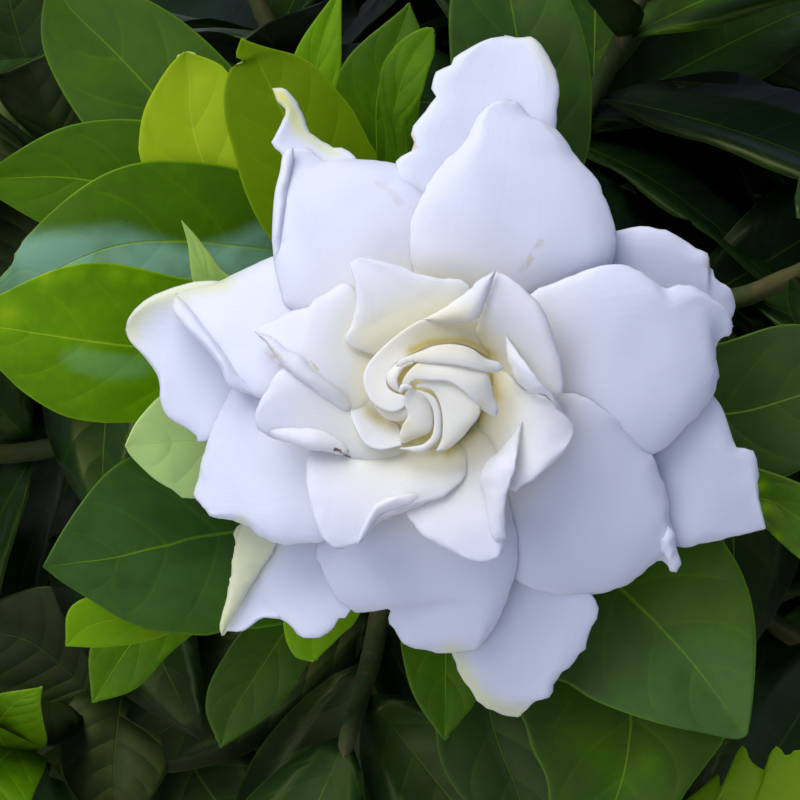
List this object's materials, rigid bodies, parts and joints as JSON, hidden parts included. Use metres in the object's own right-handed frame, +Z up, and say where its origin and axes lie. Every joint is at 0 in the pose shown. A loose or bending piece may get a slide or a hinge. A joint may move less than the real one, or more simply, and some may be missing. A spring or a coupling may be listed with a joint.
{
  "type": "potted gardenia",
  "caption": "Gardenia shrub in a plain clay pot: a branching trunk, glossy leaves on short shoots, an open double white bloom facing forward and up, and closed buds",
  "frame": {"origin": "centre of the pot's base, on the surface that it stands on", "axes": "+Z up; -Y is the front, where the bloom faces; +X is to the right seen from the front"},
  "size_m": [0.2711, 0.266, 0.3475],
  "materials": {
    "clay": "matt fired clay",
    "soil": "loose damp potting soil",
    "bark": "rough bark",
    "leaf": "glossy leaf",
    "petal": "matt velvety petal",
    "bud": "smooth closed bud"
  },
  "bodies": {
    "root": {"bloom": "petal", "bud_1": "bud", "bud_2": "bud", "bud_3": "bud", "flowering_shoot": "leaf", "leafy_shoot_01": "leaf", "leafy_shoot_02": "leaf", "leafy_shoot_03": "leaf", "leafy_shoot_04": "leaf", "leafy_shoot_05": "leaf", "leafy_shoot_06": "leaf", "leafy_shoot_07": "leaf", "leafy_shoot_08": "leaf", "leafy_shoot_09": "leaf", "leafy_shoot_10": "leaf", "leafy_shoot_11": "leaf", "leafy_shoot_12": "leaf", "leafy_shoot_13": "leaf", "leafy_shoot_14": "leaf", "leafy_shoot_15": "leaf", "leafy_shoot_16": "leaf", "leafy_shoot_17": "leaf", "leafy_shoot_18": "leaf", "leafy_shoot_19": "leaf", "leafy_shoot_20": "leaf", "pot": "clay", "soil": "soil", "wood": "bark"}
  },
  "joints": []
}
